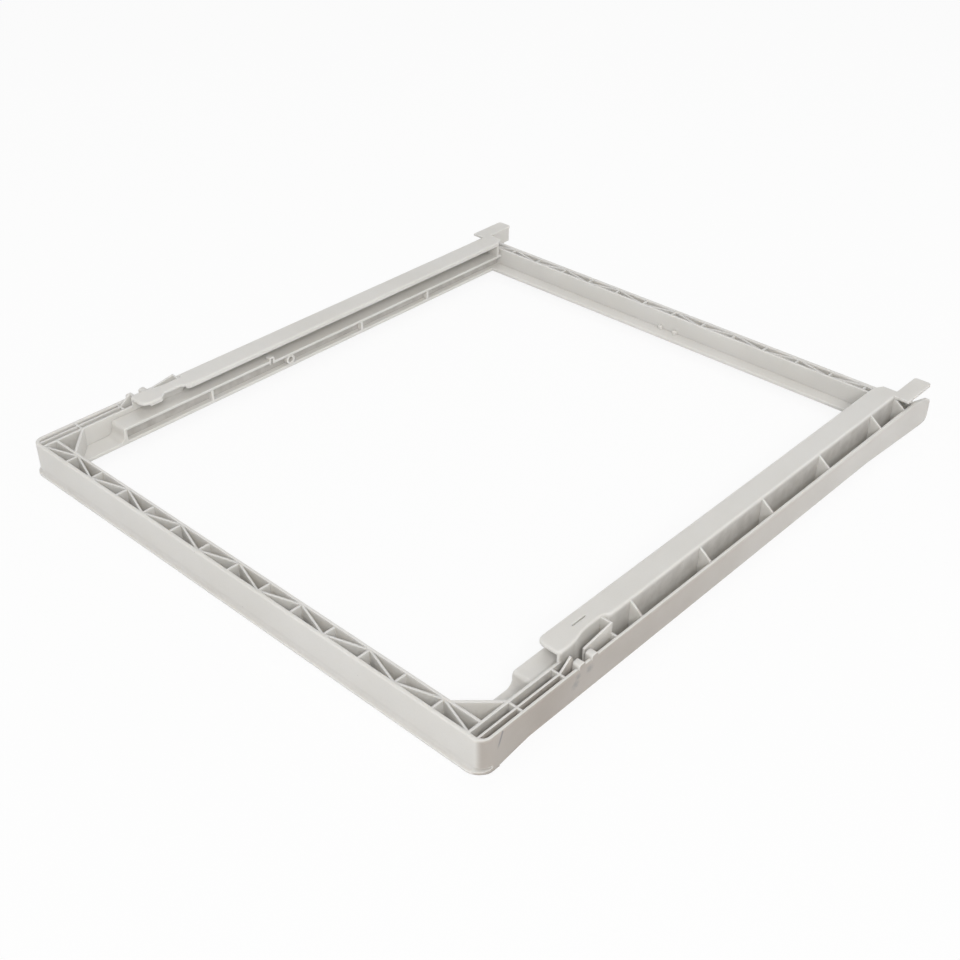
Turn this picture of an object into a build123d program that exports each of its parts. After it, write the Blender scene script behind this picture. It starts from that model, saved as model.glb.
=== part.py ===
"""Cover frame of a refrigerator crisper drawer: one plastic moulding, lying with its drawer rails up.

Millimetres, +Z up, origin at the middle of the footprint on the resting plane. X runs across the
drawer and Y from the front trim to the back bar. The two sides are alike, apart from a key slot in the
right rail and a notch in the left one.
"""

import os

from build123d import *

# Overall size
frame_width = 442.0  # across the outer faces of the two side walls
frame_depth = 483.0  # from the front face to the back face
rim_height = 25.5  # rim of the walls above the resting plane
corner_radius = 8.0  # front corners in plan, at the outer face

# Wall thicknesses
outer_wall = 3.0
inner_wall = 1.8
rib_wall = 1.4
floor_wall = 2.5
rim_round = 1.1  # rounding of the rim of the outer wall
rib_drop = 0.5  # rib tops lie this far below the rim
rib_root = 0.4  # ribs run this far into the walls that they join

# Front trim with its lip, and the skirt that hangs below the glass seat
skirt_height = 4.7  # lower edge of the side and back walls above the resting plane
lip_proud = 3.0  # lip in front of the front face
lip_land = 2.4  # flat front of the lip, up to the cove
lip_nose = 1.3  # rounding of the lip's lower edge
lip_return = 30.0  # length over which the lower edge rises to the skirt, past the corner

# Ribbed front and back bars
front_cell = 8.8  # clear depth of the cells of the front bar
back_cell = 6.8  # clear depth of the cells of the back bar
rib_pitch = 30.0
end_cell = 18.0  # least length of the cell at each end of a bar
brace_run = 24.6  # diagonal brace across each inner front corner, along the front bar
back_ledge = 11.5  # glass ledge in front of the back bar
nub_size = 3.0
nub_spacing = 14.6

# Side bars
seat_height = 8.0  # underside of the floor that bears on the glass
outer_channel = 3.0  # clear width between the outer and the middle wall
inner_channel = 4.7  # clear width between the middle wall and the web
first_cross_rib = 34.8  # from the front face
last_cross_rib = 71.4  # from the front face
gusset_pitch = 72.1  # from the last cross rib on

# Drawer rails
rail_rise = 7.8  # top of the rail above the rim
rail_width = 18.2  # outer face of the web to the inner edge of the rail
rail_plate = 2.0
rail_round = 1.5  # rounding of the edges of the top flange
rail_corner = 6.5  # inner front corner of the top flange in plan
rail_nose = 3.2  # outer front corner of the rail in plan
rail_lip = 1.6  # turned-down inner edge of the top flange
channel_height = 11.4  # clear height between the floor and the top flange of the channel
rail_lead = 9.0  # front of the rail before the recess
rail_over = 2.3  # top flange behind the inner wall of the back bar
rail_bevel = 4.6  # bevel of the flange's inner back corner, across the frame
rail_bevel_length = 7.7  # the same, along the frame
block_start = 57.5  # front end of the channel floor, from the front face
block_wall = 2.5  # front wall under the channel floor, rounded over at its top
block_cove = 5.5  # cove at the foot of that wall
floor_raise = 1.4  # the channel floor lies higher in front of the stop hump
hump_start = 196.0  # stop hump on the edge of the channel floor, from the front face
hump_length = 5.0
hump_rise = 2.6  # above the higher floor
hump_round = 1.2
slot_depth = 4.7  # side slot below the channel floor
slot_first = 138.7  # first rib in the slot, from the front face
slot_pitch = 78.8
slot_rib = 2.0
ring_place = 1  # the rib in the slot that is a ring, counted from 0
stop_gap = 3.1  # plate that closes the channel to the back bar
key_slot_length = 12.6
key_slot_width = 1.3
key_slot_start = 100.8  # from the front face
key_slot_inset = 8.0  # from the inner edge of the rail
notch_start = 93.5  # from the front face
notch_length = 26.0
notch_depth = 4.6
notch_slope = 6.0  # each slanted end of the notch, along the frame

# Tails behind the back bar
tail_reach = 23.0  # side wall behind the back face
tail_slope = 6.5  # fall of the rim along the tail
tail_corner = 5.0
tail_foot = 14.0  # length of the foot that stands on the resting plane
tail_ramp = 78.0  # length over which the lower edge falls to the foot
tab_reach = 20.0  # tab of the rail behind the back face
tab_width = 13.6
tab_corner = 2.5
tab_web_depth = 6.0  # web of the tab below the rim

# Drawer catch beside the front of each rail
catch_start = 94.2  # thin catch wall, from the front face
catch_length = 26.0
catch_offset = 3.6  # outer face of the web to the catch wall
catch_recess = 3.2  # the web stands back beside the catch
recess_past = 13.8  # the recess is full this far behind the front of the catch wall
recess_run = 22.0  # turn of the web into the recess, along the frame
recess_return = 8.0  # turn of the web out of the recess, behind the catch
catch_rise = 3.1  # front of the catch wall above the rim
catch_drop = 0.7  # back of the catch wall below the top of the rail
ear_first = 81.2  # front of the first ear, from the front face
ear_spacing = 11.6
ear_length = 5.6
ear_width = 5.4
ear_rise = 2.8  # ears above the rim
ear_round = 1.6
fin_run = 9.5  # rising edge of the fin, along the frame
fin_back = 3.4  # falling edge of the fin, along the frame
fin_rise = 6.6  # peak of the fin above the rim

# Places along the frame
front_y = lip_proud - (lip_proud + frame_depth + tail_reach) / 2
back_y = front_y + frame_depth
tail_y = back_y + tail_reach
front_inner_y = front_y + outer_wall + front_cell
opening_front_y = front_inner_y + inner_wall
back_inner_y = back_y - outer_wall - back_cell
opening_back_y = back_inner_y - inner_wall - back_ledge
stop_y = back_inner_y - inner_wall - stop_gap
block_y = front_y + block_start
hump_y = front_y + hump_start
slot_y = front_y + slot_first
notch_y = front_y + notch_start
rail_end_y = back_inner_y + rail_over
catch_y = front_y + catch_start
catch_end_y = catch_y + catch_length
recess_full_y = catch_y + recess_past
recess_y = recess_full_y - recess_run
return_y = catch_end_y - rib_wall
recess_end_y = return_y + recess_return
rail_y = recess_y - rail_lead
corner_y = front_y + corner_radius
first_rib_y = front_y + first_cross_rib
last_rib_y = front_y + last_cross_rib

# Places across the frame, on the right
side_x = frame_width / 2
pocket_x = side_x - outer_wall
middle_x = pocket_x - outer_channel - rib_wall / 2
web_outer_x = pocket_x - outer_channel - rib_wall - inner_channel
web_inner_x = web_outer_x - inner_wall
web_x = web_outer_x - inner_wall / 2
rail_inner_x = web_outer_x - rail_width
slot_x = rail_inner_x + slot_depth
recess_x = web_outer_x - catch_recess
catch_x = web_outer_x + catch_offset

# Heights
rib_top = rim_height - rib_drop
seat_top = seat_height + floor_wall
rail_top = rim_height + rail_rise
flange_under = rail_top - rail_plate
channel_floor = flange_under - channel_height
channel_under = channel_floor - rail_plate
raised_floor = channel_floor + floor_raise
hump_top = raised_floor + hump_rise
catch_top = rail_top - catch_drop

# Ribs that fit on each side of the middle of a bar
rib_count = int((web_x - end_cell) // rib_pitch)


def section_at(y):
    """Plane across the frame at y, seen from the front: local x is X and local y is Z."""
    return Plane.XZ.offset(-y)


def side_at(x):
    """Plane along the frame at x: local x is Y and local y is Z."""
    return Plane.YZ.offset(x)


def span(x_from, x_to, y_from, y_to):
    """Rectangle of the current sketch between two corners."""
    with Locations(((x_from + x_to) / 2, (y_from + y_to) / 2)):
        Rectangle(abs(x_to - x_from), abs(y_to - y_from))


def slab(x_from, x_to, y_from, y_to, z_from, z_to, mode=Mode.ADD):
    """Flat plate of the current part, drawn in plan and raised from z_from to z_to."""
    with BuildSketch(Plane.XY.offset(z_from)) as plan:
        span(x_from, x_to, y_from, y_to)
    extrude(plan.sketch, amount=z_to - z_from, mode=mode)


def front_curve(inset):
    """Right corner, front and left corner of the current wire, with the corners moved in by inset."""
    end_x = side_x - inset
    RadiusArc((end_x, corner_y), (end_x - corner_radius, front_y), corner_radius)
    Line((end_x - corner_radius, front_y), (corner_radius - end_x, front_y))
    RadiusArc((corner_radius - end_x, front_y), (-end_x, corner_y), corner_radius)


def recess_curve(inset):
    """Recess of the right web beside the catch in the current wire, front to back, moved in by inset."""
    outer_x = web_outer_x - inset
    inner_x = recess_x - inset
    turn_in = ((outer_x + inner_x) / 2, (recess_y + recess_full_y) / 2)
    turn_out = ((outer_x + inner_x) / 2, (return_y + recess_end_y) / 2)
    TangentArc((outer_x, recess_y), turn_in, tangent=(0, 1))
    TangentArc((inner_x, recess_full_y), turn_in, tangent=(0, -1))
    Line((inner_x, recess_full_y), (inner_x, return_y))
    TangentArc((inner_x, return_y), turn_out, tangent=(0, 1))
    TangentArc((outer_x, recess_end_y), turn_out, tangent=(0, -1))


def truss(front_wall_y, back_wall_y):
    """Ribs and zigzag of the current sketch between two walls, with the odd nodes at the front wall."""
    ends = (front_wall_y - rib_root, back_wall_y + rib_root)
    places = range(-rib_count, rib_count + 1)
    nodes = [(index * rib_pitch, ends[(index + 1) % 2]) for index in places]
    end_node_y = ends[rib_count % 2]
    with BuildLine() as centres:
        for index in places:
            Line((index * rib_pitch, ends[0]), (index * rib_pitch, ends[1]))
        Polyline((-web_x, end_node_y), *nodes, (web_x, end_node_y))
    trace(centres.edges(), line_width=rib_wall)


# Outer wall along the front and both sides, with a rounded rim
with BuildPart() as outer_shell:
    with BuildLine() as wall_path:
        Line((side_x, back_y), (side_x, corner_y))
        front_curve(0)
        Line((-side_x, corner_y), (-side_x, back_y))
    with BuildSketch(Plane((side_x, back_y, 0), (1, 0, 0), (0, -1, 0))):
        span(-outer_wall, 0, skirt_height, rim_height)
        fillet(vertices().group_by(Axis.Y)[-1], rim_round)
    sweep(path=wall_path.wire())

# Tails: each side wall runs on behind the back bar, falls, and comes down to a foot
with BuildPart() as tails:
    with BuildSketch(side_at(pocket_x)):
        with BuildLine():
            Polyline(
                (back_y, rim_height),
                (tail_y, rim_height - tail_slope),
                (tail_y, 0),
                (tail_y - tail_foot, 0),
                (tail_y - tail_foot - tail_ramp, skirt_height),
                (back_y, skirt_height),
                close=True,
            )
        make_face()
        fillet(vertices().group_by(Axis.X)[-1], tail_corner)
    extrude(amount=outer_wall)
    mirror(about=Plane.YZ)

# Lip of the front trim: a proud, rounded edge under a cove, flush with the side walls past the
# corners, where the lower edge rises to the skirt
with BuildPart() as trim_lip:
    lip_top = lip_land + lip_proud
    with BuildLine() as lip_path:
        front_curve(lip_proud)
    with BuildSketch(Plane((side_x - lip_proud, corner_y, 0), (1, 0, 0), (0, -1, 0))):
        with BuildLine():
            Polyline((0, lip_top), (-outer_wall, lip_top), (-outer_wall, 0), (lip_proud - lip_nose, 0))
            RadiusArc((lip_proud - lip_nose, 0), (lip_proud, lip_nose), -lip_nose)
            Line((lip_proud, lip_nose), (lip_proud, lip_land))
            RadiusArc((lip_proud, lip_land), (0, lip_top), lip_proud)
        make_face()
    sweep(path=lip_path.wire())
    for start_x in (pocket_x, -side_x):
        with BuildSketch(side_at(start_x)):
            with BuildLine():
                Polyline(
                    (corner_y - rib_root, 0),
                    (corner_y + lip_return, skirt_height),
                    (corner_y - rib_root, skirt_height),
                    close=True,
                )
            make_face()
        extrude(amount=outer_wall)

# Front bar: flat trim floor, inner wall and truss
with BuildPart() as front_bar:
    with BuildSketch():
        span(-side_x, side_x, front_y, opening_front_y)
        fillet(vertices().group_by(Axis.Y)[0], corner_radius)
    extrude(amount=floor_wall)
    slab(-web_x, web_x, front_inner_y, opening_front_y, 0, rim_height)
    slab(-pocket_x - rib_root, pocket_x + rib_root, front_inner_y, opening_front_y, 0, seat_top)
    with BuildSketch():
        truss(front_y + outer_wall, front_inner_y)
    extrude(amount=rib_top)

# Back bar: floor with the glass ledge, two walls, truss and a pair of nubs on the inner face
with BuildPart() as back_bar:
    slab(-side_x + rib_root, side_x - rib_root, back_y - outer_wall, back_y, skirt_height, rim_height)
    fillet(back_bar.faces().sort_by(Axis.Z)[-1].edges().filter_by(Axis.X), rim_round)
    slab(-pocket_x - rib_root, pocket_x + rib_root, opening_back_y, back_y - rib_root, seat_height, seat_top)
    slab(-web_x, web_x, back_inner_y - inner_wall, back_inner_y, seat_height, rim_height)
    with BuildSketch(Plane.XY.offset(seat_height)):
        truss(back_inner_y, back_y - outer_wall)
    extrude(amount=rib_top - seat_height)
    nub_y = back_inner_y - inner_wall
    for nub_x in (-nub_spacing / 2, nub_spacing / 2):
        nub_ends = (nub_x - nub_size / 2, nub_x + nub_size / 2)
        slab(*nub_ends, nub_y - nub_size, nub_y, seat_height, seat_top + nub_size)

# Drawer rails: a channel on each side, open to the front and to the middle of the frame. The right one
# is hollowed out of its outline in plan, and the left one is its mirror image
with BuildPart() as drawer_rails:
    # Outline with rounded front corners, the recess beside the catch and a bevelled back corner
    with BuildSketch(Plane.XY.offset(seat_height)):
        with BuildLine():
            Line((web_outer_x, rail_y + rail_nose), (web_outer_x, recess_y))
            recess_curve(0)
            Polyline(
                (web_outer_x, recess_end_y),
                (web_outer_x, rail_end_y),
                (rail_inner_x + rail_bevel, rail_end_y),
                (rail_inner_x, rail_end_y - rail_bevel_length),
                (rail_inner_x, rail_y + rail_corner),
            )
            corner_end = (rail_inner_x + rail_corner, rail_y)
            nose_start = (web_outer_x - rail_nose, rail_y)
            RadiusArc((rail_inner_x, rail_y + rail_corner), corner_end, -rail_corner)
            Line(corner_end, nose_start)
            RadiusArc(nose_start, (web_outer_x, rail_y + rail_nose), -rail_nose)
        make_face()
    extrude(amount=rail_top - seat_height)
    fillet(faces().sort_by(Axis.Z)[-1].edges(), rail_round)

    # Hollow under the top flange, which leaves the web and gets a turned-down inner edge
    with BuildSketch(Plane.XY.offset(seat_height)):
        with BuildLine():
            Line((web_inner_x, rail_y), (web_inner_x, recess_y))
            recess_curve(inner_wall)
            Polyline(
                (web_inner_x, recess_end_y),
                (web_inner_x, rail_end_y),
                (rail_inner_x, rail_end_y),
                (rail_inner_x, rail_y),
                (web_inner_x, rail_y),
            )
        make_face()
    extrude(amount=flange_under - seat_height, mode=Mode.SUBTRACT)
    slab(
        rail_inner_x,
        rail_inner_x + rail_plate,
        rail_y + rail_corner,
        rail_end_y - rail_bevel_length,
        flange_under - rail_lip,
        flange_under,
    )

    # Channel floor, slot wall and glass ledge as one folded section, trimmed to the recess of the web
    block_end_y = block_y + block_wall
    raised_stretch = (block_end_y, hump_y, raised_floor)
    lower_stretch = (hump_y, rail_end_y, channel_floor)
    for start_y, end_y, floor_top in (raised_stretch, lower_stretch):
        floor_under = floor_top - rail_plate
        with BuildSketch(section_at(start_y)):
            with BuildLine():
                Polyline(
                    (web_x, floor_top),
                    (rail_inner_x, floor_top),
                    (rail_inner_x, floor_under),
                    (slot_x, floor_under),
                    (slot_x, seat_top),
                    (rail_inner_x, seat_top),
                    (rail_inner_x, seat_height),
                    (slot_x + inner_wall, seat_height),
                    (slot_x + inner_wall, floor_under),
                    (web_x, floor_under),
                    close=True,
                )
            make_face()
        extrude(amount=start_y - end_y)
    with BuildSketch(Plane.XY.offset(seat_height)):
        with BuildLine():
            recess_curve(0)
            Line((web_outer_x, recess_end_y), (web_outer_x, recess_y))
        make_face()
    extrude(amount=flange_under - seat_height, mode=Mode.SUBTRACT)

    # Front end of the channel floor, rounded over at the top and coved at its foot
    with BuildSketch(side_at(rail_inner_x)):
        with BuildLine():
            RadiusArc((block_y - block_cove, seat_top), (block_y, seat_top + block_cove), -block_cove)
            Line((block_y, seat_top + block_cove), (block_y, raised_floor - block_wall))
            RadiusArc((block_y, raised_floor - block_wall), (block_end_y, raised_floor), block_wall)
            Polyline(
                (block_end_y, raised_floor),
                (block_end_y, seat_height),
                (block_y - block_cove, seat_height),
                (block_y - block_cove, seat_top),
            )
        make_face()
    extrude(amount=web_x - rail_inner_x)

    # Stop hump on the edge of the floor, hollow towards the slot
    with BuildSketch(side_at(rail_inner_x)):
        span(hump_y, hump_y + hump_length, channel_under, hump_top)
        fillet(vertices().group_by(Axis.Y)[-1], hump_round)
    extrude(amount=slot_depth)
    hollow_ends = (hump_y + rib_wall, hump_y + hump_length - rib_wall)
    slab(rail_inner_x, slot_x, *hollow_ends, channel_under, hump_top - rib_wall, mode=Mode.SUBTRACT)

    # Ribs in the slot, one of them a ring, and the plate that closes the channel at the back
    slot_count = int((opening_back_y - slot_y) // slot_pitch)
    for index in range(slot_count):
        rib_y = slot_y + index * slot_pitch
        roof = raised_floor if rib_y < hump_y else channel_floor
        if index == ring_place:
            ring_radius = (roof - rail_plate - seat_top) / 2 + rib_root
            with BuildSketch(side_at(rail_inner_x)):
                with Locations((rib_y, (roof - rail_plate + seat_top) / 2)):
                    Circle(ring_radius)
                    Circle(ring_radius - rib_root - rib_wall, mode=Mode.SUBTRACT)
            extrude(amount=slot_depth + rib_root)
        else:
            rib_ends = (rib_y - slot_rib / 2, rib_y + slot_rib / 2)
            slab(rail_inner_x, slot_x + rib_root, *rib_ends, seat_height, roof)
    slab(rail_inner_x, web_x, stop_y - inner_wall, stop_y, channel_under, flange_under)
    mirror(about=Plane.YZ)

    # Key slot in the right flange and notch in the edge of the left one
    with BuildSketch(Plane.XY.offset(flange_under)):
        with Locations((rail_inner_x + key_slot_inset, front_y + key_slot_start + key_slot_length / 2)):
            SlotOverall(key_slot_length, key_slot_width, rotation=90)
    extrude(amount=rail_plate, mode=Mode.SUBTRACT)
    with BuildSketch(Plane.XY.offset(flange_under - rail_lip)):
        with BuildLine():
            Polyline(
                (-rail_inner_x, notch_y),
                (-rail_inner_x - notch_depth, notch_y + notch_slope),
                (-rail_inner_x - notch_depth, notch_y + notch_length - notch_slope),
                (-rail_inner_x, notch_y + notch_length),
                close=True,
            )
        make_face()
    extrude(amount=rail_plate + rail_lip, mode=Mode.SUBTRACT)

# Right side bar between the rail and the outer wall, then the left one as its mirror image
with BuildPart() as side_bars:
    # Floor of the pockets beside the web
    slab(web_inner_x, pocket_x + rib_root, front_inner_y, back_y - rib_root, seat_height, seat_top)
    slab(recess_x - inner_wall, web_x, recess_y, recess_end_y, seat_height, seat_top)
    slab(rail_inner_x, web_x, front_inner_y, block_y, seat_height, seat_top)

    # Front bay: web, diagonal brace, middle wall and cross ribs
    slab(web_inner_x, web_outer_x, front_y + rib_root, rail_y + rail_nose, seat_height, rim_height)
    slab(web_inner_x, web_outer_x, front_y + rib_root, opening_front_y, 0, rim_height)
    with BuildSketch(Plane.XY.offset(seat_height)):
        with BuildLine():
            Line((web_x - brace_run, front_inner_y), (web_x, first_rib_y))
        trace(line_width=inner_wall)
    extrude(amount=rim_height - seat_height)
    with BuildSketch(Plane.XY.offset(seat_height)):
        with BuildLine():
            Line((middle_x, front_y + rib_root), (middle_x, last_rib_y))
        trace(line_width=rib_wall)
        for cross_y in (first_rib_y, last_rib_y):
            with BuildLine():
                Line((web_x, cross_y), (pocket_x + rib_root, cross_y))
            trace(line_width=rib_wall)
    extrude(amount=rib_top - seat_height)

    # Gussets from the shoulder of the rail down to the outer wall, the last one closing the pocket
    gusset_count = int((stop_y - last_rib_y) // gusset_pitch)
    gusset_places = [last_rib_y + index * gusset_pitch for index in range(1, gusset_count + 1)]
    for gusset_y in (*gusset_places, stop_y - rib_wall):
        with BuildSketch(section_at(gusset_y)):
            with BuildLine():
                Polyline(
                    (web_x, seat_height),
                    (pocket_x + rib_root, seat_height),
                    (pocket_x + rib_root, rib_top),
                    (web_outer_x - rail_round, rail_top),
                    (web_outer_x - rail_round, flange_under),
                    (web_x, flange_under),
                    close=True,
                )
            make_face()
        extrude(amount=-rib_wall)

    # Tab behind the rail on a web of its own
    with BuildSketch(Plane.XY.offset(flange_under)):
        span(web_inner_x, web_inner_x + tab_width, stop_y - rib_wall, back_y + tab_reach)
        fillet(vertices().group_by(Axis.Y)[-1], tab_corner)
    extrude(amount=rail_plate)
    slab(
        web_inner_x,
        web_outer_x,
        stop_y,
        back_y + tab_reach - tab_corner,
        rim_height - tab_web_depth,
        flange_under + rib_root,
    )

    # Drawer catch: a rising fin, two rounded ears on the outer wall and a thin U-shaped wall
    fin_end_y = last_rib_y + fin_run + fin_back
    with BuildSketch(side_at(middle_x - rib_wall / 2)):
        with BuildLine():
            Polyline(
                (last_rib_y, seat_height),
                (last_rib_y, rib_top),
                (last_rib_y + fin_run, rim_height + fin_rise),
                (fin_end_y, rib_top),
                (fin_end_y, seat_height),
                close=True,
            )
        make_face()
    extrude(amount=rib_wall)
    for index in range(2):
        ear_y = front_y + ear_first + index * ear_spacing
        with BuildSketch(side_at(side_x - ear_width)):
            span(ear_y, ear_y + ear_length, seat_height, rim_height + ear_rise)
            fillet(vertices().group_by(Axis.Y)[-1], ear_round)
        extrude(amount=ear_width)
    with BuildSketch(side_at(catch_x)):
        with BuildLine():
            Polyline(
                (catch_y, seat_height),
                (catch_y, rim_height + catch_rise),
                (catch_end_y, catch_top),
                (catch_end_y, seat_height),
                close=True,
            )
        make_face()
    extrude(amount=rib_wall)
    slab(recess_x - rib_root, catch_x + rib_wall, catch_end_y - rib_wall, catch_end_y, seat_height, catch_top)
    slab(catch_x, pocket_x + rib_root, catch_end_y - rib_wall, catch_end_y, seat_height, rib_top)
    mirror(about=Plane.YZ)

with BuildPart() as crisper_frame:
    add(outer_shell.part)
    add(tails.part)
    add(trim_lip.part)
    add(front_bar.part)
    add(back_bar.part)
    add(drawer_rails.part)
    add(side_bars.part)

os.makedirs("parts", exist_ok=True)
crisper_frame.part.label = "crisper_frame"
export_step(crisper_frame.part, "parts/crisper_frame.step")
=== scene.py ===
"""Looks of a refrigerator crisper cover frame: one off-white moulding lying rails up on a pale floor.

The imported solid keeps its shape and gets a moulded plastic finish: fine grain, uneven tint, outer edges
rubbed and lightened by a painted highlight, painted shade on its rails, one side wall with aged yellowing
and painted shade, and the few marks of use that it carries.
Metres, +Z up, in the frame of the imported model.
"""

import logging
import math
from dataclasses import dataclass, field
from enum import Enum
from typing import Any

import bpy
from mathutils import Matrix, Vector


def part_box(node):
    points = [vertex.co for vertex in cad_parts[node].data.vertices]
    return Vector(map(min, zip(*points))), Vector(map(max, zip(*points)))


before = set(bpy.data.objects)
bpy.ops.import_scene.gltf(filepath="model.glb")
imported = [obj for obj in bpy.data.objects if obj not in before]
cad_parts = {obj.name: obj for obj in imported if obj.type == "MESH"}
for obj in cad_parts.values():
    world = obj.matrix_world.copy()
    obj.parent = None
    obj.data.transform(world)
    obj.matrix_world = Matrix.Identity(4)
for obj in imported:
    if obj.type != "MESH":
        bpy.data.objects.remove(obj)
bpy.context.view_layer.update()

FRAME_NODE = "crisper_frame"
NODE_STEP = 190.0  # spacing of the nodes in a shader tree, for reading it

Colour = tuple[float, float, float, float]
Feed = Any  # a node socket, a number, a colour or a vector

log = logging.getLogger("crisper_frame")


class SocketKind(Enum):
    """What a socket of a shader group carries."""

    VALUE = "NodeSocketFloat"
    COLOUR = "NodeSocketColor"
    VECTOR = "NodeSocketVector"


class LampTone(Enum):
    """Light colours of the studio lamps."""

    NEUTRAL = (1.0, 0.995, 0.985)
    COOL = (0.97, 0.985, 1.0)


@dataclass
class Bench:
    """Adds nodes to one shader tree and joins them.

    Attributes:
        tree: The node tree of a material, a world or a group.
    """

    tree: bpy.types.NodeTree

    def add(self, kind: str, **settings: Any) -> bpy.types.Node:
        """Adds a node.

        Args:
            kind: Blender's type name of the node.
            **settings: Properties to set on it.

        Returns:
            The new node.
        """
        node = self.tree.nodes.new(kind)
        node.location = (NODE_STEP * len(self.tree.nodes), 0.0)
        for name, value in settings.items():
            setattr(node, name, value)
        return node

    def feed(self, socket: bpy.types.NodeSocket, source: Feed) -> None:
        """Links an output to a socket, or sets the socket to a plain value.

        Args:
            socket: The input to fill.
            source: An output socket, or the value to set.
        """
        if isinstance(source, bpy.types.NodeSocket):
            self.tree.links.new(source, socket)
        else:
            socket.default_value = source

    def math(self, operation: str, *values: Feed, clamp: bool = False) -> bpy.types.NodeSocket:
        """Works out a number.

        Args:
            operation: Name of the math operation.
            *values: Its inputs, in order.
            clamp: Whether the result is kept from 0 to 1.

        Returns:
            The result.
        """
        node = self.add("ShaderNodeMath", operation=operation, use_clamp=clamp)
        for socket, value in zip(node.inputs, values):
            self.feed(socket, value)
        return node.outputs["Value"]

    def vector(self, operation: str, *values: Feed) -> bpy.types.Node:
        """Works out a vector or, from two vectors, a number.

        Args:
            operation: Name of the vector operation.
            *values: Its inputs, in order.

        Returns:
            The node, because some operations give Value and others give Vector.
        """
        node = self.add("ShaderNodeVectorMath", operation=operation)
        for socket, value in zip(node.inputs, values):
            self.feed(socket, value)
        return node

    def ease(
        self, value: Feed, low: Feed, high: Feed, start: Feed = 0.0, end: Feed = 1.0
    ) -> bpy.types.NodeSocket:
        """Eases from one number to another while a value runs from low to high.

        Args:
            value: The number that is read.
            low: Where the change starts.
            high: Where the change ends.
            start: Result up to low.
            end: Result from high on.

        Returns:
            The eased number.
        """
        node = self.add("ShaderNodeMapRange", interpolation_type="SMOOTHSTEP")
        names = ("Value", "From Min", "From Max", "To Min", "To Max")
        for name, source in zip(names, (value, low, high, start, end)):
            self.feed(node.inputs[name], source)
        return node.outputs["Result"]

    def mix(self, mask: Feed, under: Feed, over: Feed, blend: str = "MIX") -> bpy.types.NodeSocket:
        """Lays one colour over another.

        Args:
            mask: Share of the upper colour.
            under: Lower colour.
            over: Upper colour.
            blend: Name of the blend.

        Returns:
            The mixed colour.
        """
        node = self.add("ShaderNodeMix", data_type="RGBA", blend_type=blend)
        inputs = {socket.identifier: socket for socket in node.inputs}
        for name, source in zip(("Factor_Float", "A_Color", "B_Color"), (mask, under, over)):
            self.feed(inputs[name], source)
        return next(socket for socket in node.outputs if socket.identifier == "Result_Color")

    def noise(self, scale: Feed, detail: float = 2.0, warp: float = 0.0) -> bpy.types.NodeSocket:
        """Noise on the object's own coordinates.

        Args:
            scale: Repeats in a metre.
            detail: Number of finer layers.
            warp: How far the noise bends itself.

        Returns:
            The noise, from 0 to 1.
        """
        node = self.add("ShaderNodeTexNoise")
        self.feed(node.inputs["Vector"], self.place())
        self.feed(node.inputs["Scale"], scale)
        self.feed(node.inputs["Detail"], detail)
        self.feed(node.inputs["Distortion"], warp)
        return node.outputs["Fac"]

    def place(self) -> bpy.types.NodeSocket:
        """The object's own coordinates."""
        return self.add("ShaderNodeTexCoord").outputs["Object"]

    def split(self, source: Feed) -> bpy.types.NodeOutputs:
        """Splits a vector.

        Args:
            source: The vector.

        Returns:
            Its X, Y and Z.
        """
        node = self.add("ShaderNodeSeparateXYZ")
        self.feed(node.inputs["Vector"], source)
        return node.outputs


@dataclass(frozen=True)
class Band:
    """A stretch of one measure, with soft ends.

    Attributes:
        start: Where it starts to count.
        full_start: Where it counts in full.
        full_end: Where it stops counting in full.
        end: Where it stops counting.
    """

    start: float
    full_start: float
    full_end: float
    end: float

    def mask(self, bench: Bench, measure: Feed) -> bpy.types.NodeSocket:
        """How far a measure lies in the stretch.

        Args:
            bench: Bench of the material.
            measure: The number that is read.

        Returns:
            The mask.
        """
        rising = bench.ease(measure, self.start, self.full_start)
        return bench.math("MULTIPLY", rising, bench.ease(measure, self.end, self.full_end))


@dataclass
class Effect:
    """A shader group that materials share, built once.

    Attributes:
        name: Name of the group.
        inputs: Name, kind and start value of each input.
        outputs: Name and kind of each output.
        tree: The group itself.
    """

    name: str
    inputs: list[tuple[str, SocketKind, Feed]]
    outputs: list[tuple[str, SocketKind]]
    tree: bpy.types.NodeTree = field(init=False)

    def __post_init__(self) -> None:
        """Makes the group with its sockets."""
        self.tree = bpy.data.node_groups.new(self.name, "ShaderNodeTree")
        for name, kind, start in self.inputs:
            socket = self.tree.interface.new_socket(name, in_out="INPUT", socket_type=kind.value)
            socket.default_value = start
        for name, kind in self.outputs:
            self.tree.interface.new_socket(name, in_out="OUTPUT", socket_type=kind.value)

    def open(self) -> tuple[Bench, bpy.types.NodeOutputs, bpy.types.NodeInputs]:
        """Starts the group's wiring.

        Returns:
            The bench of the group, the sockets that bring its inputs and those that take its results.
        """
        bench = Bench(self.tree)
        return bench, bench.add("NodeGroupInput").outputs, bench.add("NodeGroupOutput").inputs

    def use(self, bench: Bench, **values: Feed) -> bpy.types.NodeOutputs:
        """Places the group in a material.

        Args:
            bench: Bench of the material.
            **values: Inputs by name, with _ for a space.

        Returns:
            The group's outputs.
        """
        node = bench.add("ShaderNodeGroup", node_tree=self.tree)
        for name, value in values.items():
            bench.feed(node.inputs[name.replace("_", " ")], value)
        return node.outputs


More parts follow.
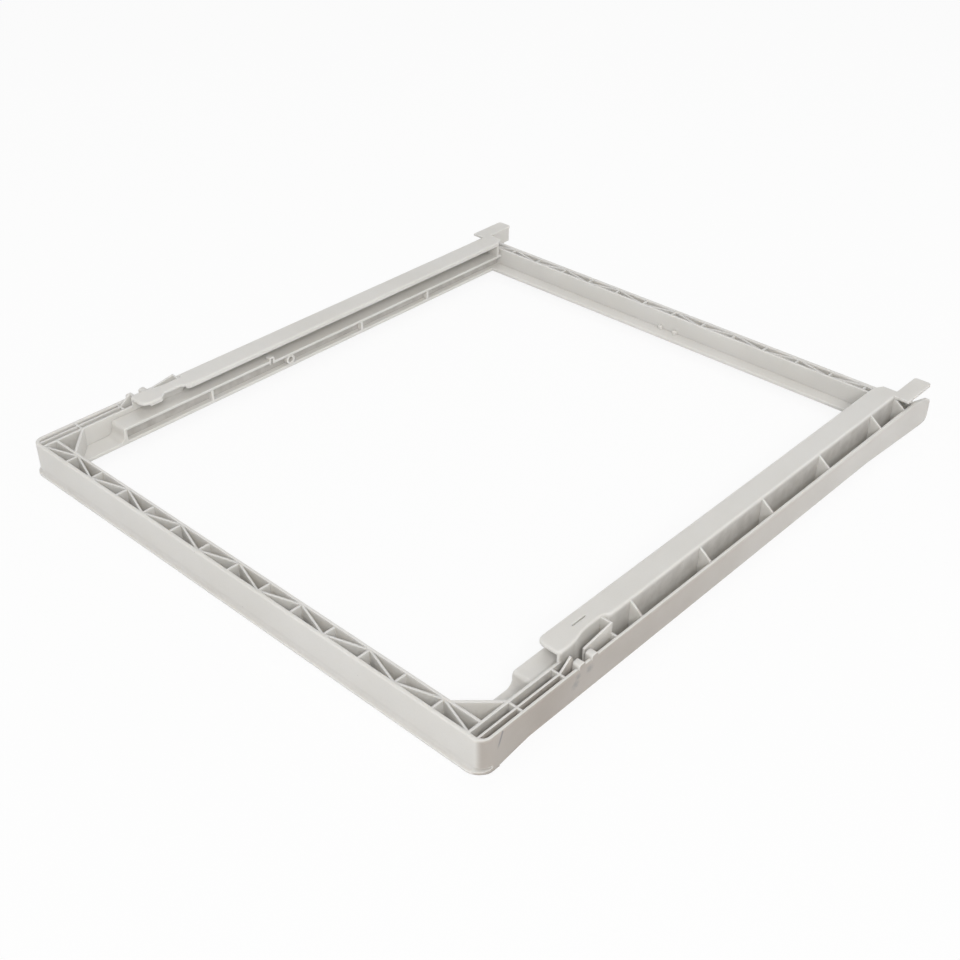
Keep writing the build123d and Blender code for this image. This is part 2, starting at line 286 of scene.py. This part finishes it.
def mould_grain() -> Effect:
    """Fine grain and slow ripple of a moulded face, as a height.

    Returns:
        The effect.
    """
    effect = Effect(
        "mould grain",
        [
            ("Grain Scale", SocketKind.VALUE, 2600.0),
            ("Ripple Scale", SocketKind.VALUE, 45.0),
            ("Ripple Share", SocketKind.VALUE, 0.5),
        ],
        [("Height", SocketKind.VALUE)],
    )
    bench, given, result = effect.open()
    grain = bench.noise(given["Grain Scale"], detail=3.0)
    ripple = bench.noise(given["Ripple Scale"], detail=1.0)
    swell = bench.math("MULTIPLY", ripple, given["Ripple Share"])
    bench.feed(result["Height"], bench.math("ADD", grain, swell))
    return effect


def uneven_tint() -> Effect:
    """Two close colours in soft patches, with fine flecks.

    Returns:
        The effect.
    """
    effect = Effect(
        "uneven tint",
        [
            ("Pale", SocketKind.COLOUR, (0.8, 0.8, 0.8, 1.0)),
            ("Deep", SocketKind.COLOUR, (0.7, 0.7, 0.7, 1.0)),
            ("Patch Scale", SocketKind.VALUE, 14.0),
            ("Fleck Scale", SocketKind.VALUE, 900.0),
        ],
        [("Colour", SocketKind.COLOUR)],
    )
    bench, given, result = effect.open()
    patches = bench.ease(bench.noise(given["Patch Scale"], detail=3.0), 0.3, 0.7)
    flecks = bench.ease(bench.noise(given["Fleck Scale"]), 0.45, 0.75, end=0.35)
    share = bench.math("ADD", bench.math("MULTIPLY", patches, 0.75), flecks, clamp=True)
    bench.feed(result["Colour"], bench.mix(share, given["Pale"], given["Deep"]))
    return effect


def rubbed_and_highlit_edges() -> Effect:
    """Softened outer edges and a mask of them, for wear and a painted highlight.

    Returns:
        The effect.
    """
    effect = Effect(
        "rubbed and highlit edges",
        [
            ("Reach", SocketKind.VALUE, 0.0005),
            ("Patch Scale", SocketKind.VALUE, 60.0),
            ("Openness", SocketKind.VALUE, 1.0),
        ],
        [("Mask", SocketKind.VALUE), ("Normal", SocketKind.VECTOR)],
    )
    bench, given, result = effect.open()
    soft = bench.add("ShaderNodeBevel", samples=8)
    bench.feed(soft.inputs["Radius"], given["Reach"])
    flat = bench.add("ShaderNodeNewGeometry").outputs["Normal"]
    likeness = bench.vector("DOT_PRODUCT", soft.outputs["Normal"], flat).outputs["Value"]
    edge = bench.ease(likeness, 0.965, 0.84)
    outer = bench.ease(given["Openness"], 0.5, 0.8)
    patch = bench.ease(bench.noise(given["Patch Scale"], detail=3.0), 0.3, 0.65, start=0.35)
    mask = bench.math("MULTIPLY", bench.math("MULTIPLY", edge, outer), patch)
    bench.feed(result["Mask"], mask)
    bench.feed(result["Normal"], soft.outputs["Normal"])
    return effect


def fine_scuffs() -> Effect:
    """Sparse hair-fine scuffs.

    Returns:
        The effect.
    """
    effect = Effect(
        "fine scuffs",
        [("Line Scale", SocketKind.VALUE, 55.0), ("Patch Scale", SocketKind.VALUE, 22.0)],
        [("Mask", SocketKind.VALUE)],
    )
    bench, given, result = effect.open()
    lines = bench.noise(given["Line Scale"], detail=1.0, warp=2.5)
    near = bench.math("ABSOLUTE", bench.math("SUBTRACT", lines, 0.5))
    thread = bench.ease(near, 0.006, 0.0015)
    patch = bench.ease(bench.noise(given["Patch Scale"]), 0.54, 0.66)
    bench.feed(result["Mask"], bench.math("MULTIPLY", thread, patch))
    return effect


def spot_mark() -> Effect:
    """A round mark with a broken edge.

    Returns:
        The effect.
    """
    effect = Effect(
        "spot mark",
        [
            ("Centre", SocketKind.VECTOR, (0.0, 0.0, 0.0)),
            ("Radius", SocketKind.VALUE, 0.003),
            ("Break Scale", SocketKind.VALUE, 700.0),
        ],
        [("Mask", SocketKind.VALUE)],
    )
    bench, given, result = effect.open()
    reach = bench.vector("DISTANCE", bench.place(), given["Centre"]).outputs["Value"]
    share = bench.math("DIVIDE", reach, given["Radius"])
    ragged = bench.math("ADD", share, bench.noise(given["Break Scale"]))
    bench.feed(result["Mask"], bench.ease(ragged, 1.5, 0.55))
    return effect


def line_mark() -> Effect:
    """A straight hairline between two points, fading at its ends.

    Returns:
        The effect.
    """
    effect = Effect(
        "line mark",
        [
            ("Start", SocketKind.VECTOR, (0.0, 0.0, 0.0)),
            ("End", SocketKind.VECTOR, (0.0, 0.0, 1.0)),
            ("Width", SocketKind.VALUE, 0.0010),
        ],
        [("Mask", SocketKind.VALUE)],
    )
    bench, given, result = effect.open()
    along = bench.vector("SUBTRACT", given["End"], given["Start"]).outputs["Vector"]
    offset = bench.vector("SUBTRACT", bench.place(), given["Start"]).outputs["Vector"]
    length = bench.vector("DOT_PRODUCT", along, along).outputs["Value"]
    reach = bench.vector("DOT_PRODUCT", offset, along).outputs["Value"]
    share = bench.math("DIVIDE", reach, length, clamp=True)
    scaled = bench.vector("SCALE", along)
    bench.feed(scaled.inputs["Scale"], share)
    away = bench.vector("DISTANCE", offset, scaled.outputs["Vector"]).outputs["Value"]
    thread = bench.ease(bench.math("DIVIDE", away, given["Width"]), 1.0, 0.4)
    faded = bench.ease(share, 1.0, 0.5)
    bench.feed(result["Mask"], bench.math("MULTIPLY", thread, faded))
    return effect


@dataclass(frozen=True)
class Effects:
    """The shader groups that the finishes share.

    Attributes:
        grain: Height of a moulded face.
        tint: Uneven colour.
        edges: Outer edges, for wear and a painted highlight.
        scuffs: Hair-fine scuffs.
        spot: Round mark.
        line: Hairline.
    """

    grain: Effect = field(default_factory=mould_grain)
    tint: Effect = field(default_factory=uneven_tint)
    edges: Effect = field(default_factory=rubbed_and_highlit_edges)
    scuffs: Effect = field(default_factory=fine_scuffs)
    spot: Effect = field(default_factory=spot_mark)
    line: Effect = field(default_factory=line_mark)


@dataclass(frozen=True)
class Spot:
    """A round mark on the moulding.

    Attributes:
        centre: Its middle.
        radius: Its size.
    """

    centre: Vector
    radius: float


@dataclass(frozen=True)
class UseMarks:
    """Marks of use that this frame carries, placed from its box.

    Attributes:
        low: Lowest corner of the frame.
        high: Highest corner of the frame.
        lip_proud: How far the lip stands out from the front face.
    """

    low: Vector
    high: Vector
    lip_proud: float = 0.003

    def on_right_wall(self, behind_front: float, height: float) -> Vector:
        """A point of the outer face of the right wall.

        Args:
            behind_front: Distance behind the lip.
            height: Height above the floor.

        Returns:
            The point.
        """
        return Vector((self.high.x, self.low.y + behind_front, height))

    def hairline(self) -> tuple[Vector, Vector]:
        """Ends of the hairline beside the right front corner."""
        return self.on_right_wall(0.0186, 0.0246), self.on_right_wall(0.0142, 0.0132)

    def smudges(self) -> list[Spot]:
        """Grey smudges under the two ears of the right catch."""
        places = ((0.0832, 0.0208, 0.0034), (0.0812, 0.0160, 0.0046), (0.0938, 0.0204, 0.0042))
        return [Spot(self.on_right_wall(along, height), size) for along, height, size in places]

    def specks(self) -> list[Spot]:
        """Dark specks on the front face."""
        face_y = self.low.y + self.lip_proud
        places = ((-0.0300, 0.0245, 0.0007), (0.0156, 0.0052, 0.0006), (0.1220, 0.0140, 0.0005))
        return [Spot(Vector((x, face_y, z)), radius) for x, z, radius in places]


@dataclass(frozen=True)
class MouldedPlastic:
    """Matte off-white plastic, with a side wall partly aged to yellow and partly painted in shade, and
    painted shade on its rails.

    Attributes:
        pale: Colour of clean, fresh patches.
        deep: Colour of aged patches.
        worn_and_highlight: Colour of outer edges and scuffs, lighter from wear and, on the edges, from a
            painted highlight.
        rail_shade: Colour of the painted shade on the rails' outer faces and in their slots.
        yellowed_and_shade: Tint of the right side wall, from aged plastic and from painted shade.
        grime: Colour of smudges, specks and the hairline.
        smooth: Roughness of polished patches.
        dull: Roughness of grainy patches.
        edge_reach: Width of the softened edges.
        edge_clearance: Free space around an edge that gets rubbed and a painted highlight.
        rub_and_highlight_share: How far an edge is lightened, by wear and as a painted highlight.
        rub_polish: How much smoother a rubbed edge is.
        scuff_share: How much of the colour shows in a scuff.
        spot_share: How strong smudges and specks are beside the hairline.
        grime_share: How strong all marks are.
        rail_shade_dulling: How much rougher the patches of painted shade are.
        grain_depth: Depth of the moulded grain.
        grain_strength: How much of the grain shows.
        light_reach: How far light travels inside the plastic.
        light_spread: Share of that reach for red, green and blue.
        refraction: Index of refraction.
        rail_face: Outer faces of the rails, measured inwards from the side walls.
        slot_wall: Back walls of the rails' slots, measured inwards from the side walls.
        slot_height: Heights of the slots.
    """

    pale: Colour = (0.722, 0.709, 0.684, 1.0)
    deep: Colour = (0.686, 0.671, 0.640, 1.0)
    worn_and_highlight: Colour = (0.775, 0.765, 0.745, 1.0)
    rail_shade: Colour = (0.490, 0.472, 0.444, 1.0)
    yellowed_and_shade: Colour = (0.550, 0.505, 0.475, 1.0)
    grime: Colour = (0.240, 0.236, 0.240, 1.0)
    smooth: float = 0.42
    dull: float = 0.58
    edge_reach: float = 0.0006
    edge_clearance: float = 0.003
    rub_and_highlight_share: float = 0.6
    rub_polish: float = 0.08
    scuff_share: float = 0.25
    spot_share: float = 0.6
    grime_share: float = 0.9
    rail_shade_dulling: float = 0.2
    grain_depth: float = 0.00012
    grain_strength: float = 0.35
    light_reach: float = 0.003
    light_spread: tuple[float, float, float] = (1.0, 0.97, 0.93)
    refraction: float = 1.49
    rail_face: Band = Band(0.0095, 0.0115, 0.0124, 0.0130)
    slot_wall: Band = Band(0.0245, 0.0250, 0.0257, 0.0262)
    slot_height: Band = Band(0.0100, 0.0108, 0.0194, 0.0200)

    def yellowed_and_shaded_wall_mask(self, bench: Bench, marks: UseMarks) -> bpy.types.NodeSocket:
        """Where the right side wall is darker and warmer, partly from aged plastic and partly as painted
        shade, fading towards the back.

        Args:
            bench: Bench of the material.
            marks: Places on the frame.

        Returns:
            The mask.
        """
        wall_start, wall_full = marks.high.x - 0.0080, marks.high.x - 0.0050
        fade_start, fade_end = marks.low.y + 0.04, marks.high.y - 0.06
        place = bench.split(bench.place())
        facing = bench.split(bench.add("ShaderNodeNewGeometry").outputs["Normal"])
        outer = bench.ease(place["X"], wall_start, wall_full)
        face = bench.math("MULTIPLY", outer, bench.ease(facing["X"], 0.10, 0.70))
        back = bench.ease(place["Y"], fade_start, fade_end, start=1.0, end=0.3)
        patch = bench.ease(bench.noise(18.0, detail=3.0), 0.25, 0.75, start=0.82)
        return bench.math("MULTIPLY", bench.math("MULTIPLY", face, back), patch)

    def grime_mask(self, bench: Bench, effects: Effects, marks: UseMarks) -> bpy.types.NodeSocket:
        """Smudges, specks and the hairline together.

        Args:
            bench: Bench of the material.
            effects: The shared shader groups.
            marks: Places on the frame.

        Returns:
            The mask.
        """
        start, end = marks.hairline()
        total = effects.line.use(bench, Start=start, End=end)["Mask"]
        for spot in (*marks.smudges(), *marks.specks()):
            mask = effects.spot.use(bench, Centre=spot.centre, Radius=spot.radius)["Mask"]
            total = bench.math("MAXIMUM", total, bench.math("MULTIPLY", mask, self.spot_share))
        return bench.math("MULTIPLY", total, self.grime_share)

    def rail_shade_mask(self, bench: Bench, marks: UseMarks) -> bpy.types.NodeSocket:
        """Where painted shade darkens the rails, in patches: their outer faces and their slots.

        Args:
            bench: Bench of the material.
            marks: Places on the frame.

        Returns:
            The mask.
        """
        place = bench.split(bench.place())
        facing = bench.split(bench.add("ShaderNodeNewGeometry").outputs["True Normal"])
        inward = bench.math("SUBTRACT", marks.high.x, bench.math("ABSOLUTE", place["X"]))
        below_rim = bench.ease(place["Z"], 0.0325, 0.0290, end=0.8)
        faces = bench.math("MULTIPLY", self.rail_face.mask(bench, inward), below_rim)
        slot_heights = self.slot_height.mask(bench, place["Z"])
        slots = bench.math("MULTIPLY", self.slot_wall.mask(bench, inward), slot_heights)
        sideways = bench.ease(bench.math("ABSOLUTE", facing["X"]), 0.6, 0.9)
        rail_shaded = bench.math("MULTIPLY", bench.math("MAXIMUM", faces, slots), sideways)
        patch = bench.ease(bench.noise(120.0, detail=4.0), 0.3, 0.7, start=0.6)
        return bench.math("MULTIPLY", rail_shaded, patch)

    def openness(self, bench: Bench) -> bpy.types.NodeSocket:
        """How open the surroundings of a point are, from 0 in a pocket to 1.

        Args:
            bench: Bench of the material.

        Returns:
            The openness.
        """
        node = bench.add("ShaderNodeAmbientOcclusion", samples=4)
        node.inputs["Distance"].default_value = self.edge_clearance
        return node.outputs["AO"]

    def material(self, effects: Effects, marks: UseMarks) -> bpy.types.Material:
        """Makes the material.

        Args:
            effects: The shared shader groups.
            marks: Places on the frame.

        Returns:
            The material.
        """
        made = bpy.data.materials.new("off-white moulded plastic")
        made.use_nodes = True
        bench = Bench(made.node_tree)
        shader = made.node_tree.nodes["Principled BSDF"]

        edges = effects.edges.use(bench, Reach=self.edge_reach, Openness=self.openness(bench))
        scuffs = effects.scuffs.use(bench)["Mask"]
        rail_shaded = self.rail_shade_mask(bench, marks)

        colour = effects.tint.use(bench, Pale=self.pale, Deep=self.deep)["Colour"]
        # Right side wall: partly aged yellowing, partly painted shade.
        colour = bench.mix(self.yellowed_and_shaded_wall_mask(bench, marks), colour, self.yellowed_and_shade, blend="MULTIPLY")
        # Painted shade on the rails' outer faces and in their slots.
        colour = bench.mix(rail_shaded, colour, self.rail_shade)
        # Lighter outer edges: partly wear, partly a painted highlight.
        colour = bench.mix(bench.math("MULTIPLY", edges["Mask"], self.rub_and_highlight_share), colour, self.worn_and_highlight)
        colour = bench.mix(bench.math("MULTIPLY", scuffs, self.scuff_share), colour, self.worn_and_highlight)
        colour = bench.mix(self.grime_mask(bench, effects, marks), colour, self.grime)
        bench.feed(shader.inputs["Base Color"], colour)

        sheen = bench.ease(bench.noise(30.0, detail=3.0), 0.3, 0.7, start=self.smooth, end=self.dull)
        rubbed = bench.math("SUBTRACT", sheen, bench.math("MULTIPLY", edges["Mask"], self.rub_polish))
        dulled = bench.math("ADD", rubbed, bench.math("MULTIPLY", rail_shaded, self.rail_shade_dulling))
        bench.feed(shader.inputs["Roughness"], dulled)

        bump = bench.add("ShaderNodeBump")
        bump.inputs["Strength"].default_value = self.grain_strength
        bump.inputs["Distance"].default_value = self.grain_depth
        height = bench.math("SUBTRACT", effects.grain.use(bench)["Height"], scuffs)
        bench.feed(bump.inputs["Height"], height)
        bench.feed(bump.inputs["Normal"], edges["Normal"])
        bench.feed(shader.inputs["Normal"], bump.outputs["Normal"])
        shader.inputs["IOR"].default_value = self.refraction
        shader.inputs["Subsurface Weight"].default_value = 1.0
        shader.inputs["Subsurface Radius"].default_value = self.light_spread
        shader.inputs["Subsurface Scale"].default_value = self.light_reach
        return made


@dataclass(frozen=True)
class PaleCard:
    """Plain pale card of the floor, seen as near white and still shaded by the object.

    Attributes:
        pale: Colour of the card.
        deep: Colour of its darker fibres.
        white_share: How much of pure white the eye sees in it.
    """

    pale: Colour = (0.900, 0.900, 0.895, 1.0)
    deep: Colour = (0.880, 0.880, 0.875, 1.0)
    white_share: float = 0.90

    def material(self, effects: Effects) -> bpy.types.Material:
        """Makes the material.

        Args:
            effects: The shared shader groups.

        Returns:
            The material.
        """
        made = bpy.data.materials.new("pale card")
        made.use_nodes = True
        bench = Bench(made.node_tree)
        shader = made.node_tree.nodes["Principled BSDF"]
        shader.inputs["Roughness"].default_value = 0.9
        shader.inputs["Specular IOR Level"].default_value = 0.1
        bench.feed(
            shader.inputs["Base Color"],
            effects.tint.use(bench, Pale=self.pale, Deep=self.deep, Patch_Scale=3.0)["Colour"],
        )
        white = bench.add("ShaderNodeEmission")
        path = bench.add("ShaderNodeLightPath").outputs
        seen = bench.math("ADD", path["Is Camera Ray"], path["Is Glossy Ray"], clamp=True)
        seen = bench.math("ADD", seen, path["Is Transmission Ray"], clamp=True)
        blend = bench.add("ShaderNodeMixShader")
        bench.feed(blend.inputs["Fac"], bench.math("MULTIPLY", seen, self.white_share))
        bench.feed(blend.inputs[1], shader.outputs["BSDF"])
        bench.feed(blend.inputs[2], white.outputs["Emission"])
        bench.feed(made.node_tree.nodes["Material Output"].inputs["Surface"], blend.outputs["Shader"])
        return made


@dataclass
class CoverFrame:
    """The one-piece cover frame.

    Attributes:
        node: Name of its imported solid.
        finish: Its plastic.
    """

    node: str = FRAME_NODE
    finish: MouldedPlastic = field(default_factory=MouldedPlastic)

    def dress(self, effects: Effects) -> bpy.types.Object:
        """Gives the moulding its plastic.

        Args:
            effects: The shared shader groups.

        Returns:
            The dressed solid.
        """
        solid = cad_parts[self.node]
        plastic = self.finish.material(effects, UseMarks(*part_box(self.node)))
        for slot in solid.material_slots:
            slot.material = plastic
        return solid


@dataclass
class StudioFloor:
    """A wide card that the frame lies on.

    Attributes:
        side: Length of its sides.
        turned_edge: Width of the rounded border.
        finish: Its card.
    """

    side: float = 14.0
    turned_edge: float = 0.5
    finish: PaleCard = field(default_factory=PaleCard)

    def build(self, effects: Effects) -> bpy.types.Object:
        """Models and dresses the floor.

        Args:
            effects: The shared shader groups.

        Returns:
            The floor.
        """
        bpy.ops.object.select_all(action="DESELECT")
        bpy.ops.mesh.primitive_plane_add(size=self.side)
        floor = bpy.context.object
        floor.name = "studio_floor"
        bpy.ops.object.mode_set(mode="EDIT")
        bpy.ops.mesh.select_all(action="SELECT")
        bpy.ops.mesh.bevel(offset=self.turned_edge, segments=8, affect="VERTICES")
        bpy.ops.object.mode_set(mode="OBJECT")
        floor.data.materials.append(self.finish.material(effects))
        return floor


@dataclass(frozen=True)
class Softbox:
    """A square studio lamp.

    Attributes:
        name: Its name.
        place: Where it hangs.
        aim: The point that it faces.
        side: Length of its sides.
        watts: Its power.
        tone: Its light colour.
    """

    name: str
    place: Vector
    aim: Vector
    side: float
    watts: float
    tone: LampTone = LampTone.NEUTRAL

    def build(self) -> bpy.types.Object:
        """Hangs the lamp.

        Returns:
            The lamp.
        """
        light = bpy.data.lights.new(self.name, "AREA")
        light.size = self.side
        light.energy = self.watts
        light.color = self.tone.value
        lamp = bpy.data.objects.new(self.name, light)
        lamp.location = self.place
        lamp.rotation_euler = (self.aim - self.place).to_track_quat("-Z", "Y").to_euler()
        bpy.context.scene.collection.objects.link(lamp)
        return lamp


@dataclass
class Studio:
    """Soft, even light with a white surround.

    Attributes:
        low_level: Light of the white surround near the horizon.
        high_level: Light of the white surround overhead.
        low_rise: Upward slope up to which the low level holds.
        high_rise: Upward slope from which the high level holds.
        lamps: The softboxes.
    """

    low_level: float = 0.74
    high_level: float = 0.38
    low_rise: float = 0.1
    high_rise: float = 0.8
    lamps: list[Softbox] = field(
        default_factory=lambda: [
            Softbox("front_softbox", Vector((-1.1, -1.7, 1.5)), Vector((0.0, -0.1, 0.0)), 1.4, 2.5),
            Softbox("side_softbox", Vector((1.75, -1.38, 1.80)), Vector((0.0, 0.1, 0.0)), 1.0, 36.0),
            Softbox("top_softbox", Vector((-0.3, 0.5, 2.0)), Vector(), 1.6, 8.5, LampTone.COOL),
        ]
    )

    def build(self) -> list[bpy.types.Object]:
        """Lights the scene.

        Returns:
            The lamps.
        """
        self.surround()
        return [lamp.build() for lamp in self.lamps]

    def surround(self) -> None:
        """Makes the world a soft light that is seen as white."""
        world = bpy.data.worlds.new("white surround")
        world.use_nodes = True
        bpy.context.scene.world = world
        bench = Bench(world.node_tree)
        light = world.node_tree.nodes["Background"]
        light.inputs["Color"].default_value = (1.0, 1.0, 1.0, 1.0)
        rise = bench.split(bench.add("ShaderNodeTexCoord").outputs["Generated"])["Z"]
        level = bench.ease(rise, self.low_rise, self.high_rise, self.low_level, self.high_level)
        bench.feed(light.inputs["Strength"], level)
        white = bench.add("ShaderNodeBackground")
        white.inputs["Color"].default_value = (1.0, 1.0, 1.0, 1.0)
        path = bench.add("ShaderNodeLightPath").outputs
        blend = bench.add("ShaderNodeMixShader")
        bench.feed(blend.inputs["Fac"], path["Is Camera Ray"])
        bench.feed(blend.inputs[1], light.outputs["Background"])
        bench.feed(blend.inputs[2], white.outputs["Background"])
        bench.feed(world.node_tree.nodes["World Output"].inputs["Surface"], blend.outputs["Shader"])


@dataclass(frozen=True)
class CameraStand:
    """The photographer's standpoint.

    Attributes:
        aim: Point of the frame's rim plane in the middle of the image.
        distance: From there to the lens.
        azimuth: Turn from the front towards the right, in degrees.
        elevation: Height above the horizon, in degrees.
        roll: Tilt of the horizon, in degrees.
        focal_pixels: Focal length in pixels of the image.
        image_side: Side of the square image in pixels.
    """

    aim: Vector = field(default_factory=lambda: Vector((0.0494, -0.0684, 0.0255)))
    distance: float = 0.9205
    azimuth: float = 42.67
    elevation: float = 34.53
    roll: float = 0.145
    focal_pixels: float = 1336.1
    image_side: float = 960.0

    def build(self) -> bpy.types.Object:
        """Sets up the camera.

        Returns:
            The camera.
        """
        lens = bpy.data.cameras.new("photo_camera")
        lens.lens = lens.sensor_width * self.focal_pixels / self.image_side
        lens.clip_start = 0.01
        camera = bpy.data.objects.new("photo_camera", lens)
        turn, lift = math.radians(self.azimuth), math.radians(self.elevation)
        back = Vector((math.sin(turn) * math.cos(lift), -math.cos(turn) * math.cos(lift), math.sin(lift)))
        level = (-back).to_track_quat("-Z", "Y").to_matrix()
        camera.rotation_euler = (level @ Matrix.Rotation(math.radians(self.roll), 3, "Z")).to_euler()
        camera.location = self.aim + back * self.distance
        bpy.context.scene.collection.objects.link(camera)
        bpy.context.scene.camera = camera
        return camera


def main() -> None:
    """Builds the scene, piece by piece."""
    logging.basicConfig(level=logging.INFO, format="%(name)s: %(message)s")
    bpy.context.scene.view_settings.view_transform = "Standard"
    effects = Effects()
    solid = CoverFrame().dress(effects)
    log.info("%s dressed in %s", solid.name, solid.active_material.name)
    floor = StudioFloor().build(effects)
    log.info("%s laid", floor.name)
    for lamp in Studio().build():
        log.info("%s hung", lamp.name)
    camera = CameraStand().build()
    log.info("%s set up", camera.name)


if __name__ == "__main__":
    main()
